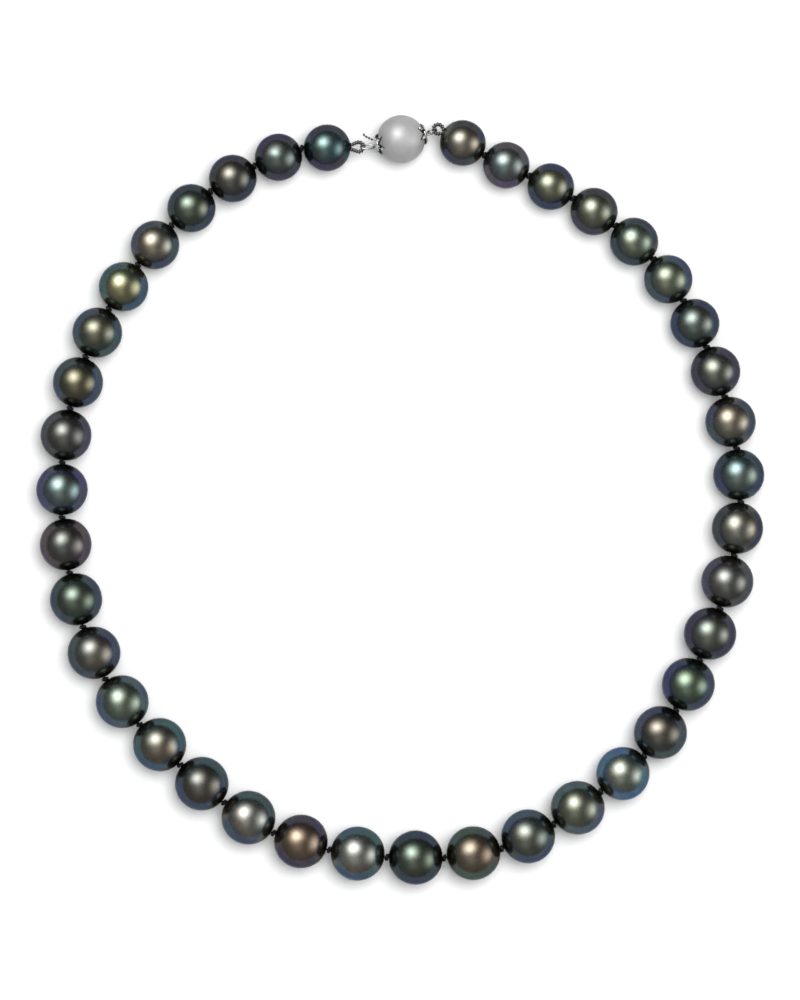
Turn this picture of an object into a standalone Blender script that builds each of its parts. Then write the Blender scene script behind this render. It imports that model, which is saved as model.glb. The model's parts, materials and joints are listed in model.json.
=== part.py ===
"""Graduated strand of dark pearls, knotted on black silk, closed by a satin ball clasp.

The strand lies on a flat surface at z = 0, with the clasp at +Y and the largest pearl at -Y.
Every pearl rests on the surface. Each empty stands on one knot or ring joint, and carries all that
hangs beyond it, from the front pearl out to the two halves of the clasp.
Lengths below are in millimetres, and MM turns them into Blender's metres.
"""

import math

import bmesh
import bpy
from mathutils import Matrix, Vector

MM = 0.001

# Strand: knots run from the clasp's left side, down, along the front and up its right side.
PEARL_COUNT = 39
FRONT_PEARL = 20
LEFT_END_RADIUS = 4.74
RIGHT_END_RADIUS = 4.64
FRONT_SWELL = 0.77  # how much the front pearl's radius exceeds that of the end pearls
SWELL_POWER = 1.2
LEFT_GAP, FRONT_GAP, RIGHT_GAP = 0.60, 0.86, 0.54  # between neighbouring pearls
GAP_FALL = 4.0  # the gap has closed up to the right side's this many pearls past the front one
STRAND_ROUTE = (
    (-19.8, 71.1),
    (-38.3, 62.4),
    (-53.0, 47.5),
    (-63.5, 29.1),
    (-68.3, 7.9),
    (-66.9, -14.2),
    (-59.8, -35.8),
    (-44.7, -53.3),
    (-25.8, -67.2),
    (-2.7, -72.2),
    (21.1, -70.3),
    (41.1, -58.6),
    (49.8, -51.3),
    (55.9, -42.3),
    (60.7, -32.1),
    (64.7, -21.9),
    (68.9, 0.1),
    (65.6, 21.1),
    (62.0, 30.9),
    (57.4, 40.2),
    (51.5, 48.5),
    (43.9, 55.3),
    (26.3, 65.5),
    (17.0, 69.8),
)

# Pearls: turned about the thread, with a flat facet underneath to rest on.
PEARL_SIDES = 12
BELT_LATITUDE = 11.0  # the belt between these latitudes is a prism, which gives the flat facet
PEARL_LATITUDES = (36.0, 60.0)
BORE_RADIUS = 0.45

# Silk thread and its knots.
THREAD_RADIUS = 0.24
THREAD_SIDES = 6
KNOT_RADIUS = 0.46
KNOT_LENGTH = 0.24

# Clasp: X runs along its axis, towards the right-hand pearl, from the centre of the ball.
BALL_RADIUS = 4.87
BALL_CENTRE = (0.25, 72.97)
CLASP_TILT = 13.0
SHELL_WALL = 0.5
SEAM_GAP = 0.06
BALL_SIDES = 24
MOUTH_ANGLE = 22.0  # half-angle of the round mouth, seen from the centre of the ball

CATCH_RADIUS = 1.55
CATCH_OUTSIDE, CATCH_INSIDE = -4.5, -4.05
SLOT_LOW, SLOT_HIGH, SLOT_HALF_HEIGHT = -0.9, 1.1, 0.8

CAP_INNER, CAP_OUTER, CAP_TIP_OUTER = 4.96, 5.24, 5.14  # radii from the centre of the ball
CAP_HOLE_ANGLE, CAP_VALLEY_ANGLE = 17.0, 20.5
CAP_SIDE_ANGLE, CAP_TOP_ANGLE = 23.0, 42.0  # of the leaves' tips: the cap is oval, taller than wide
CAP_PETALS = 8
SAMPLES_PER_PETAL = 4

LEAF_HALF_HEIGHT = 0.7
PLATE_THICKNESS = 0.28
PLATE_PATH = ((-5.15, -0.3), (-4.8, -0.42), (-1.0, -0.5), (-0.75, -0.45))
SPRING_THICKNESS = 0.2
SPRING_PATH = (
    (-0.75, -0.1),
    (-3.68, 1.28),
    (-3.86, 0.8),
    (-5.05, 0.8),
    (-5.4, 0.98),
    (-7.0, 2.2),
    (-7.2, 2.55),
)
FOLD_POINT = (-0.75, -0.27)

EYE_RADIUS, EYE_WIRE = 0.4, 0.14
TONGUE_EYE = (-5.62, -0.3)
BALL_EYE = (5.56, 0.0)
EYE_BASE_RADIUS, EYE_BASE_NEAR, EYE_BASE_FAR = 1.3, 4.93, 5.12

# Loops of French wire (fine coiled wire over the thread) and the oval links that hold them.
LOOP_LEFT = (-8.34, 71.4)
LOOP_RIGHT = (7.72, 75.02)
LOOP_RADIUS, LOOP_WIRE = 0.85, 0.26
LOOP_CLEARANCE = 0.06
LINK_HALF_WIDTH, LINK_WIRE = 0.68, 0.15
LINK_LEAN = 30.0  # of the link's plane from upright, about its long axis

# Body colour of each pearl from the clasp's left side round to its right, as named tones.
TONES = {
    "peacock": (0.055, 0.095, 0.085),
    "slate": (0.075, 0.085, 0.095),
    "olive": (0.090, 0.092, 0.060),
    "bronze": (0.110, 0.085, 0.060),
    "taupe": (0.110, 0.095, 0.085),
    "pistachio": (0.095, 0.115, 0.070),
    "rose": (0.115, 0.080, 0.075),
    "silver": (0.125, 0.125, 0.110),
}
TONE_ORDER = (
    "peacock slate olive olive taupe pistachio bronze olive taupe peacock rose olive taupe "
    "pistachio bronze bronze slate rose taupe pistachio rose slate bronze silver bronze "
    "peacock slate rose taupe slate bronze slate silver silver olive bronze olive silver taupe"
).split()


def clear_scene():
    for obj in list(bpy.data.objects):
        bpy.data.objects.remove(obj)


def material(name, colour, roughness, metallic):
    made = bpy.data.materials.new(name)
    made.use_nodes = True
    shader = made.node_tree.nodes["Principled BSDF"]
    shader.inputs["Base Color"].default_value = (*colour, 1.0)
    shader.inputs["Roughness"].default_value = roughness
    shader.inputs["Metallic"].default_value = metallic
    return made


def in_metres(x, y, z=0.0):
    return Vector((x, y, z)) * MM


def heading(start, end):
    """Angle about Z of the level line from one point to another."""
    return math.atan2(end[1] - start[1], end[0] - start[0])


# ---------------------------------------------------------------- objects and their pivots


def pivot(name, place, parent):
    """An empty on a joint's axis. Empties are unturned, so a child's place is a difference."""
    empty = bpy.data.objects.new(name, None)
    empty.empty_display_size = 2 * MM
    bpy.context.scene.collection.objects.link(empty)
    empty["place"] = place
    attach(empty, place, 0.0, parent)
    return empty


def attach(obj, place, turn, parent):
    obj.parent = parent
    obj.rotation_euler = (0.0, 0.0, turn)
    obj.location = Vector(place) - (Vector(parent["place"]) if parent else Vector())


def add_object(name, mesh_data, finish, place, turn, parent):
    """Closes a bmesh into a named object that carries its own material."""
    bmesh.ops.recalc_face_normals(mesh_data, faces=mesh_data.faces)
    mesh = bpy.data.meshes.new(name)
    mesh_data.to_mesh(mesh)
    mesh_data.free()
    mesh.shade_smooth()
    mesh.set_sharp_from_angle(angle=math.radians(35))
    mesh.materials.append(finish)
    obj = bpy.data.objects.new(name, mesh)
    bpy.context.scene.collection.objects.link(obj)
    attach(obj, place, turn, parent)
    return obj


# ---------------------------------------------------------------- mesh tools, in millimetres


def bridge(mesh_data, rings, closed):
    """Quads between neighbouring rings of points; an open tube is capped at both ends."""
    rows = [[mesh_data.verts.new(Vector(point) * MM) for point in ring] for ring in rings]
    count = len(rows[0])
    pairs = list(zip(rows, rows[1:] + rows[:1])) if closed else list(zip(rows, rows[1:]))
    for first, second in pairs:
        for k in range(count):
            after = (k + 1) % count
            mesh_data.faces.new((first[k], first[after], second[after], second[k]))
    if not closed:
        mesh_data.faces.new(rows[0])
        mesh_data.faces.new(rows[-1])


def tube(points, radii, normal, sides, closed):
    """A round tube along a plane curve; normal is the plane's normal."""
    points = [Vector(point) for point in points]
    normal = Vector(normal).normalized()
    rings = []
    for i, (point, radius) in enumerate(zip(points, radii)):
        before = points[i - 1] if closed or i else point
        after = points[(i + 1) % len(points)] if closed or i + 1 < len(points) else point
        across = normal.cross(after - before).normalized()
        angles = [2 * math.pi * (k + 0.5) / sides for k in range(sides)]
        rings.append([point + radius * (math.cos(a) * across + math.sin(a) * normal) for a in angles])
    made = bmesh.new()
    bridge(made, rings, closed)
    return made


def turned(profile, sides, closed):
    """A body of revolution about X from (x, radius) pairs, with a flat at the bottom."""
    swell = 1.0 / math.cos(math.pi / sides)
    angles = [2 * math.pi * (k + 0.5) / sides - math.pi / 2 for k in range(sides)]
    rings = [
        [(x, radius * swell * math.cos(a), radius * swell * math.sin(a)) for a in angles]
        for x, radius in profile
    ]
    made = bmesh.new()
    bridge(made, rings, closed)
    return made


def strip(path, thickness, half_height):
    """A bent metal strip that stands on edge: the path in X and Y, thickened and made tall."""
    path = [Vector(point) for point in path]
    left, right = [], []
    for i, point in enumerate(path):
        ways = [
            (b - a).normalized()
            for a, b in ((path[max(i - 1, 0)], point), (point, path[min(i + 1, len(path) - 1)]))
            if (b - a).length > 0
        ]
        along = sum(ways, Vector((0.0, 0.0))).normalized()
        reach = thickness / 2 / max(along.dot(ways[0]), 0.5)
        across = Vector((-along.y, along.x)) * reach
        left.append(point + across)
        right.append(point - across)
    rings = [
        [(*a, -half_height), (*b, -half_height), (*b, half_height), (*a, half_height)]
        for a, b in zip(left, right)
    ]
    made = bmesh.new()
    bridge(made, rings, closed=False)
    return made


def circle(centre, radius, count, z=0.0):
    angles = [2 * math.pi * k / count for k in range(count)]
    return [(centre[0] + radius * math.cos(a), centre[1] + radius * math.sin(a), z) for a in angles]


def unite(obj, made, name):
    """Joins a second closed mesh to an object with a Boolean union."""
    bmesh.ops.recalc_face_normals(made, faces=made.faces)
    mesh = bpy.data.meshes.new(name)
    made.to_mesh(mesh)
    made.free()
    helper = bpy.data.objects.new(name, mesh)
    bpy.context.scene.collection.objects.link(helper)
    helper.parent = obj
    helper.hide_render = True
    helper.display_type = "WIRE"
    joined = obj.modifiers.new("union", "BOOLEAN")
    joined.operation = "UNION"
    joined.object = helper


# ---------------------------------------------------------------- strand layout


def pearl_radius(index):
    share = (index - 1) / (PEARL_COUNT - 1)
    swell = FRONT_SWELL * math.sin(math.pi * share) ** SWELL_POWER if 0 < share < 1 else 0.0
    return LEFT_END_RADIUS + (RIGHT_END_RADIUS - LEFT_END_RADIUS) * share + swell


def knot_gap(index, spare):
    """Space between pearl index and the next one; spare is shared by all, to fill the route."""
    if index < FRONT_PEARL:
        gap = LEFT_GAP + (FRONT_GAP - LEFT_GAP) * (index - 1) / (FRONT_PEARL - 1)
    else:
        past = min((index - FRONT_PEARL) / GAP_FALL, 1.0)
        gap = FRONT_GAP + (RIGHT_GAP - FRONT_GAP) * past
    return gap + spare


def smooth_route(points, steps=60):
    """A smooth curve through the points, as many short chords."""
    points = [Vector(point) for point in points]
    reach = [(b - a).length for a, b in zip(points, points[1:])]
    slopes = []
    for i, point in enumerate(points):
        if 0 < i < len(points) - 1:
            before, after = reach[i - 1], reach[i]
            slope = ((point - points[i - 1]) / before * after + (points[i + 1] - point) / after * before)
            slopes.append(slope / (before + after))
        else:
            near = (1, 2) if i == 0 else (-2, -3)
            chord = (points[near[0]] - point) / (points[near[0]] - point).length
            beyond = (points[near[1]] - points[near[0]]).normalized()
            slopes.append((1.5 * chord - 0.5 * beyond) * (1 if i == 0 else -1))
    curve = []
    for i, length in enumerate(reach):
        for k in range(steps):
            t = k / steps
            curve.append(
                (1 + 2 * t) * (1 - t) ** 2 * points[i]
                + t * (1 - t) ** 2 * length * slopes[i]
                + t * t * (3 - 2 * t) * points[i + 1]
                - t * t * (1 - t) * length * slopes[i + 1]
            )
    return curve + [points[-1]]


def step_along(curve, start, position, length):
    """The next place on the curve that is a straight length away from position."""
    for i in range(start, len(curve) - 1):
        if (curve[i + 1] - position).length >= length:
            near, far = 0.0, 1.0
            for _ in range(30):
                middle = (near + far) / 2
                if (curve[i].lerp(curve[i + 1], middle) - position).length < length:
                    near = middle
                else:
                    far = middle
            return i, curve[i].lerp(curve[i + 1], near)
    way = (curve[-1] - curve[-2]).normalized()
    return len(curve) - 2, curve[-1] + way * (length - (curve[-1] - position).length)


def walk_knots(curve, spare):
    """Knots 1 to PEARL_COUNT - 1, each a pearl and a gap further along."""
    knots, at = [curve[0]], 0
    for index in range(2, PEARL_COUNT):
        gaps = (knot_gap(index - 1, spare) + knot_gap(index, spare)) / 2
        at, place = step_along(curve, at, knots[-1], 2 * pearl_radius(index) + gaps)
        knots.append(place)
    return knots


def lay_out():
    """Knots and pearl centres, with the gaps opened or closed until the route is just filled."""
    curve = smooth_route(STRAND_ROUTE)
    low, high = -0.4, 0.4
    for _ in range(40):
        spare = (low + high) / 2
        last = walk_knots(curve, spare)[-1]
        overshoot = (last - curve[-1]).dot(curve[-1] - curve[-2])
        low, high = (low, spare) if overshoot > 0 else (spare, high)
    knots = walk_knots(curve, spare)
    centres = []
    for index in range(1, PEARL_COUNT + 1):
        if index == 1:
            near, far, gap = knots[0], Vector(LOOP_LEFT), knot_gap(1, spare)
        elif index == PEARL_COUNT:
            near, far, gap = knots[-1], Vector(LOOP_RIGHT), knot_gap(index - 1, spare)
        else:
            near, far = knots[index - 2], knots[index - 1]
            gap = (far - near).length - 2 * pearl_radius(index)
        centres.append(near + (far - near).normalized() * (gap / 2 + pearl_radius(index)))
    return knots, centres


# ---------------------------------------------------------------- strand pieces


def add_pearl(index, centre, turn, parent):
    radius = pearl_radius(index)
    belt = math.sin(math.radians(BELT_LATITUDE)) * radius
    side = [(belt, radius)]
    for latitude in PEARL_LATITUDES:
        angle = math.radians(latitude)
        side.append((radius * math.sin(angle), radius * math.cos(angle)))
    side.append((math.sqrt(radius**2 - BORE_RADIUS**2), BORE_RADIUS))
    profile = [(-x, r) for x, r in reversed(side)] + side
    tone = TONE_ORDER[index - 1]
    finish = material(f"pearl_{index:02d}_{tone}", TONES[tone], 0.2, 0.4)
    place = in_metres(*centre, radius)
    add_object(f"pearl_{index:02d}", turned(profile, PEARL_SIDES, True), finish, place, turn, parent)


def add_thread(knots, centres, parent):
    """One silk thread through every pearl, with a knot in each gap."""
    stations = []

    def through(index, start, end):
        way = (end - start).normalized()
        reach = pearl_radius(index) + 0.02
        for side in (-1, 1):
            place = centres[index - 1] + way * side * reach
            stations.append(((*place, pearl_radius(index)), THREAD_RADIUS))

    def knot(index, way):
        level = (pearl_radius(index) + pearl_radius(index + 1)) / 2
        for along, radius in ((-0.5, KNOT_RADIUS), (0.5, KNOT_RADIUS)):
            place = knots[index - 1] + way * along * KNOT_LENGTH
            stations.append(((*place, level), radius))

    for index in range(1, PEARL_COUNT + 1):
        start = Vector(LOOP_LEFT) if index == 1 else knots[index - 2]
        end = Vector(LOOP_RIGHT) if index == PEARL_COUNT else knots[index - 1]
        through(index, start, end)
        if index < PEARL_COUNT:
            knot(index, (centres[index] - centres[index - 1]).normalized())
    points = [place for place, _ in stations]
    radii = [radius for _, radius in stations]
    silk = material("black_silk", (0.012, 0.012, 0.014), 0.8, 0.0)
    origin = Vector(parent["place"])
    made = tube(points, radii, (0, 0, 1), THREAD_SIDES, closed=False)
    bmesh.ops.translate(made, vec=-origin, verts=made.verts)
    add_object("silk_thread", made, silk, origin, 0.0, parent)


def add_loop(name, place, turn, finish, parent):
    points = circle((0.0, 0.0), LOOP_RADIUS, 16)
    made = tube(points, [LOOP_WIRE] * len(points), (0, 0, 1), 8, closed=True)
    add_object(name, made, finish, place, turn, parent)


def add_link(name, start, end, height, finish, parent):
    """An oval wire link whose two ends stand inside a loop and an eye."""
    long_half = (Vector(end) - Vector(start)).length / 2
    lean = Matrix.Rotation(math.radians(LINK_LEAN), 3, "X")
    angles = [2 * math.pi * k / 20 for k in range(20)]
    points = [
        lean @ Vector((long_half * math.cos(a), 0.0, LINK_HALF_WIDTH * math.sin(a))) for a in angles
    ]
    made = tube(points, [LINK_WIRE] * len(points), lean @ Vector((0, 1, 0)), 6, closed=True)
    middle = (Vector(start) + Vector(end)) / 2
    add_object(name, made, finish, in_metres(*middle, height), heading(start, end), parent)


# ---------------------------------------------------------------- clasp pieces


def on_clasp(point):
    """A level point of the clasp's own frame, as a place in millimetres."""
    return Vector(BALL_CENTRE) + Matrix.Rotation(math.radians(CLASP_TILT), 2) @ Vector(point)


def arc(radius, start_angle, end_x, count):
    """Points (x, radius) from an angle off the left pole to where the shell reaches end_x."""
    start = math.radians(start_angle)
    end = math.acos(-end_x / radius)
    angles = [start + (end - start) * k / count for k in range(count + 1)]
    return [(-radius * math.cos(a), radius * math.sin(a)) for a in angles]


def shell(mouth_angle):
    """Half of the hollow ball, on its left side, with a round mouth or closed at its pole."""
    inner_radius = BALL_RADIUS - SHELL_WALL
    edge = -SEAM_GAP / 2
    if mouth_angle:
        outer = arc(BALL_RADIUS, mouth_angle, edge, 6)
        inner = arc(inner_radius, mouth_angle, edge, 6)
        return turned(outer + inner[::-1], BALL_SIDES, closed=True)
    small = 4.0
    outer = arc(BALL_RADIUS, small, edge, 7)
    inner = arc(inner_radius, small, edge, 7)
    return turned(outer + inner[::-1], BALL_SIDES, closed=False)


def petal_cap():
    """An oval star of pointed leaves that hugs the ball's left pole."""
    count = CAP_PETALS * SAMPLES_PER_PETAL
    rings = []
    for k in range(count):
        around = 2 * math.pi * k / count
        phase = (k % SAMPLES_PER_PETAL) / SAMPLES_PER_PETAL
        leaf = 1 - abs(2 * phase - 1)
        tip = CAP_SIDE_ANGLE + (CAP_TOP_ANGLE - CAP_SIDE_ANGLE) * math.sin(around) ** 2
        out = CAP_VALLEY_ANGLE + (tip - CAP_VALLEY_ANGLE) * leaf
        middle = (CAP_HOLE_ANGLE + out) / 2
        outline = (
            (CAP_HOLE_ANGLE, CAP_OUTER),
            (middle, CAP_OUTER),
            (out, CAP_TIP_OUTER),
            (out, CAP_INNER),
            (middle, CAP_INNER),
            (CAP_HOLE_ANGLE, CAP_INNER),
        )
        ring = []
        for angle, radius in outline:
            off = radius * math.sin(math.radians(angle))
            x = -radius * math.cos(math.radians(angle))
            ring.append((x, off * math.cos(around), off * math.sin(around)))
        rings.append(ring)
    made = bmesh.new()
    bridge(made, rings, closed=True)
    return made


def catch_plate():
    """A round plate with the rectangular slot that the tongue passes through."""
    count = 24
    corners = ((1, 1), (-1, 1), (-1, -1), (1, -1))
    middle, half = (SLOT_LOW + SLOT_HIGH) / 2, (SLOT_HIGH - SLOT_LOW) / 2
    made = bmesh.new()
    faces = []
    for x in (CATCH_OUTSIDE, CATCH_INSIDE):
        rim = [
            made.verts.new((x * MM, y * MM, z * MM)) for y, z, _ in circle((0, 0), CATCH_RADIUS, count)
        ]
        slot = [
            made.verts.new((x * MM, (middle + a * half) * MM, b * SLOT_HALF_HEIGHT * MM))
            for a, b in corners
        ]
        faces.append((rim, slot))
        for k in range(count):
            corner = (4 * (k + 3) // count) % 4
            following = (4 * (k + 4) // count) % 4
            made.faces.new((rim[k], rim[(k + 1) % count], slot[corner]))
            if following != corner:
                made.faces.new((rim[(k + 1) % count], slot[following], slot[corner]))
    for which in (0, 1):
        first, second = faces[0][which], faces[1][which]
        for k in range(len(first)):
            after = (k + 1) % len(first)
            made.faces.new((first[k], first[after], second[after], second[k]))
    return made


def mirrored(made):
    bmesh.ops.scale(made, vec=(-1, 1, 1), verts=made.verts)
    return made


def eye_ring():
    points = circle((0.0, 0.0), EYE_RADIUS, 14)
    return tube(points, [EYE_WIRE] * len(points), (0, 0, 1), 8, closed=True)


def moved(made, point):
    bmesh.ops.translate(made, vec=in_metres(*point), verts=made.verts)
    return made


def add_ball(satin, polished, parent):
    place, turn = in_metres(*BALL_CENTRE, BALL_RADIUS), math.radians(CLASP_TILT)
    add_object("ball_shell_slotted", shell(MOUTH_ANGLE), satin, place, turn, parent)
    add_object("ball_shell_closed", mirrored(shell(0.0)), satin, place, turn, parent)
    add_object("catch_plate", catch_plate(), polished, place, turn, parent)
    add_object("leaf_cap_left", petal_cap(), polished, place, turn, parent)
    add_object("leaf_cap_right", mirrored(petal_cap()), polished, place, turn, parent)
    base = turned(((EYE_BASE_NEAR, EYE_BASE_RADIUS), (EYE_BASE_FAR, EYE_BASE_RADIUS)), 16, False)
    eye = add_object("ball_eye", base, polished, place, turn, parent)
    unite(eye, moved(eye_ring(), BALL_EYE), "ball_eye_ring")


def add_tongue(steel, parent, fold):
    place, turn = in_metres(*BALL_CENTRE, BALL_RADIUS), math.radians(CLASP_TILT)
    plate = strip(PLATE_PATH, PLATE_THICKNESS, LEAF_HALF_HEIGHT)
    tongue = add_object("tongue_plate", plate, steel, place, turn, parent)
    unite(tongue, moved(eye_ring(), TONGUE_EYE), "tongue_eye_ring")
    spring = strip(SPRING_PATH, SPRING_THICKNESS, LEAF_HALF_HEIGHT)
    add_object("tongue_spring", spring, steel, place, turn, fold)


# ---------------------------------------------------------------- assembly


def link_end(loop, towards):
    """Where a link's wire lies against the inside of a loop."""
    way = (Vector(towards) - Vector(loop)).normalized()
    return Vector(loop) + way * (LOOP_RADIUS - LOOP_WIRE - LINK_WIRE - LOOP_CLEARANCE)


def build():
    clear_scene()
    knots, centres = lay_out()
    satin = material("satin_white_gold", (0.62, 0.62, 0.62), 0.42, 1.0)
    polished = material("polished_white_gold", (0.75, 0.75, 0.74), 0.12, 1.0)
    wire = material("french_wire", (0.55, 0.55, 0.54), 0.25, 1.0)

    front = pivot("front", in_metres(*centres[FRONT_PEARL - 1], 0.0), None)
    add_thread(knots, centres, front)
    turn = heading(knots[FRONT_PEARL - 2], knots[FRONT_PEARL - 1])
    add_pearl(FRONT_PEARL, centres[FRONT_PEARL - 1], turn, front)

    last_left = front
    for index in range(FRONT_PEARL - 1, 0, -1):
        knot = knots[index - 1]
        last_left = pivot(f"knot_{index:02d}", in_metres(*knot, pearl_radius(index)), last_left)
        beyond = knots[index - 2] if index > 1 else Vector(LOOP_LEFT)
        add_pearl(index, centres[index - 1], heading(beyond, knot), last_left)
    last_right = front
    for index in range(FRONT_PEARL + 1, PEARL_COUNT + 1):
        knot = knots[index - 2]
        last_right = pivot(f"knot_{index - 1:02d}", in_metres(*knot, pearl_radius(index)), last_right)
        beyond = knots[index - 1] if index < PEARL_COUNT else Vector(LOOP_RIGHT)
        add_pearl(index, centres[index - 1], heading(knot, beyond), last_right)

    sides = (
        ("left", LOOP_LEFT, on_clasp(TONGUE_EYE), last_left, 1),
        ("right", LOOP_RIGHT, on_clasp(BALL_EYE), last_right, PEARL_COUNT),
    )
    clasp_pivots = []
    for side, loop, eye, carrier, index in sides:
        level = (pearl_radius(index) + BALL_RADIUS) / 2
        place = in_metres(*loop, pearl_radius(index))
        add_loop(f"french_wire_{side}", place, heading(loop, eye), wire, carrier)
        start = link_end(loop, eye)
        link_pivot = pivot(f"loop_joint_{side}", in_metres(*start, level), carrier)
        add_link(f"link_{side}", start, eye, level, polished, link_pivot)
        clasp_pivots.append(pivot(f"eye_joint_{side}", in_metres(*eye, BALL_RADIUS), link_pivot))
    fold = pivot("fold", in_metres(*on_clasp(FOLD_POINT), BALL_RADIUS), clasp_pivots[0])
    add_tongue(polished, clasp_pivots[0], fold)
    add_ball(satin, polished, clasp_pivots[1])


build()
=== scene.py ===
"""Looks of a graduated strand of dark pearls on knotted black silk, with a satin ball clasp.

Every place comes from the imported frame. Lengths are in millimetres unless a name ends in _m, and
MM turns them into metres. Pearls are numbered from the clasp's left side, round the front and up
to its right side.
"""

import json
import math

import bpy
import numpy as np
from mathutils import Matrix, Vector


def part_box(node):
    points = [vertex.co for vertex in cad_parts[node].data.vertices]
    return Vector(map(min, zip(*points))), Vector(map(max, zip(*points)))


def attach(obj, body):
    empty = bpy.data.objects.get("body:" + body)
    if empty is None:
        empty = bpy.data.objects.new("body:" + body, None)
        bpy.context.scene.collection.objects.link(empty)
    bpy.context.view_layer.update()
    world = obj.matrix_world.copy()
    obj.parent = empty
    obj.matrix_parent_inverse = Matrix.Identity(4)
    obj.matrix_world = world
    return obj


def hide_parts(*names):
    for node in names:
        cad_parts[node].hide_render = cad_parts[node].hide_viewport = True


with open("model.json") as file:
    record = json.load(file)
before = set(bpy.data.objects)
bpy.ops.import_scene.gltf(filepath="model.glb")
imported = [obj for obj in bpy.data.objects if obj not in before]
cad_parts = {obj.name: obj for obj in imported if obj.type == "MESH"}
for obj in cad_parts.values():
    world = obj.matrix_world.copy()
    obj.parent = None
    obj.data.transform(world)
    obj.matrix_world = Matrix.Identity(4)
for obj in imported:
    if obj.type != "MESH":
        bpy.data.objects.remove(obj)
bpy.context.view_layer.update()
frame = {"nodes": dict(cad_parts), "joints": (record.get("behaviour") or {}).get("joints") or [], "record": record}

MM = 0.001
ORIGIN = (0.0, 0.0, 0.0)

PEARL_COUNT = 39
FRONT_PEARL = 20

# Nacre: the body's colour on top of a pearl, and the tone of the belt below it, which is partly the pearl's own
# colour zoning and partly painted sheen: the blue-violet tint of its reflection of the floor.
BODY_TONES = {
    "teal": (0.035, 0.064, 0.067),
    "sea": (0.059, 0.084, 0.083),
    "mist": (0.075, 0.088, 0.086),
    "stone": (0.048, 0.059, 0.055),
    "grey": (0.058, 0.067, 0.060),
    "sage": (0.080, 0.094, 0.071),
    "silver": (0.100, 0.108, 0.090),
    "ash": (0.118, 0.112, 0.099),
    "moss": (0.045, 0.055, 0.040),
    "green": (0.050, 0.075, 0.056),
    "olive": (0.062, 0.065, 0.048),
    "khaki": (0.055, 0.054, 0.036),
    "straw": (0.084, 0.086, 0.061),
    "gold": (0.110, 0.112, 0.068),
    "sand": (0.097, 0.090, 0.074),
    "bronze": (0.079, 0.072, 0.057),
    "taupe": (0.071, 0.068, 0.060),
    "umber": (0.051, 0.048, 0.042),
    "copper": (0.087, 0.066, 0.048),
}
# Belt tones: partly the pearl's colour zoning, partly painted sheen, the tint of its reflection of the floor.
RIM_ZONE_AND_SHEEN_TONES = {
    "violet": (0.042, 0.036, 0.056),
    "ink": (0.032, 0.042, 0.064),
    "slate": (0.044, 0.057, 0.072),
    "steel": (0.045, 0.065, 0.084),
    "lagoon": (0.042, 0.081, 0.098),
    "sky": (0.058, 0.078, 0.102),
    "blue": (0.056, 0.108, 0.171),
    "indigo": (0.040, 0.047, 0.086),
    "lilac": (0.056, 0.052, 0.096),
    "mauve": (0.058, 0.055, 0.068),
    "rose": (0.073, 0.054, 0.066),
    "orchid": (0.078, 0.058, 0.084),
    "jade": (0.048, 0.070, 0.062),
    "smoke": (0.036, 0.041, 0.048),
}
# Body tone and rim tone (the belt's colour zoning and painted sheen) of each pearl in turn.
PEARL_TONES = (
    "teal violet, stone violet, umber smoke, moss ink, sand slate, gold lagoon, olive steel, "
    "khaki steel, umber mauve, sea lilac, umber rose, moss slate, taupe slate, sage sky, "
    "bronze lagoon, umber steel, ash steel, copper violet, ash lagoon, moss ink, "
    "copper jade, grey steel, straw sky, silver blue, umber slate, green indigo, grey violet, "
    "taupe mauve, sand smoke, sea ink, sand slate, grey violet, grey ink, sage steel, "
    "sage ink, straw violet, straw ink, mist orchid, sand smoke"
).split(", ")

# Tints that a pearl drifts between, first over its body, then over its belt.
WARM_BODY, COOL_BODY = (0.99, 0.92, 0.81), (0.84, 0.92, 0.95)
BLUE_BELT, GREEN_BELT = (0.80, 0.82, 1.06), (0.88, 1.00, 0.81)
DARK_CLOUD, LIGHT_CLOUD = (0.86, 0.86, 0.86), (1.12, 1.12, 1.12)
# The belt's upper edge and its ends at the bores, as shares of the pearl's radius. The belt carries colour zoning
# and painted sheen.
BELT_STARTS, BELT_FULL, BELT_DRIFT = 0.86, 0.60, 0.22
POLE_STARTS, POLE_FULL = 0.84, 0.62
NACRE_UNDULATION, NACRE_PIT = 0.006, 0.005
NACRE_COAT = {"Coat_IOR": 2.0, "Coat_Weight": 0.10, "Coat_Roughness": 0.08}

# Pearls with a skin of their own: how deep it is dimpled, and a growth line's pole, level and depth.
DIMPLED = {2: 0.0035, 7: 0.0022, 10: 0.0018}
GROWTH_LINES = {26: ((0.50, -0.35, 0.79), 0.955, 0.0035)}
GROWTH_LINE_WIDTH = 0.02
# Waves in every pearl's skin: size as a share of its radius, and how fast they follow each other.
SKIN_WAVES = ((0.0050, 2), (0.0026, 4), (0.0010, 8))
DIMPLE_WAVES = 11

PEARL_RINGS, PEARL_SIDES = 61, 96
BORE_RADIUS = 0.45
BORE_LIP = 0.07  # how much wider than the bore the skin starts
BORE_MOUTH = ((0.03, 0.02), (0.12, 0.0))  # under the lip: how deep, how much wider than the bore
MOUTH_MARGIN = 0.03  # round the bore, where the skin is left smooth

THREAD_RADIUS = 0.21
THREAD_SIDES, THREAD_LAY = 12, {"plies": 3, "ply_depth": 0.09, "ply_twist": 5.0}
KNOT_THREAD = 0.36  # the thread is doubled back on itself, and fatter, in a knot
STUB = 0.8  # how far a knot's thread runs into the next pearl's bore
STUB_GAP = 0.1  # between that stub and the next pearl's own thread
KNOT_SHIFT = 0.08  # of a knot's middle, away from the pearl that carries it
KNOT_SPREAD = 0.40  # half the width of a knot's own curve, across the strand
KNOT_LEAD = 0.1  # from a knot's curve to the straight thread beside it
LEAST_KNOT = 0.1  # half the length of a knot's curve in the narrowest gap

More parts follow.
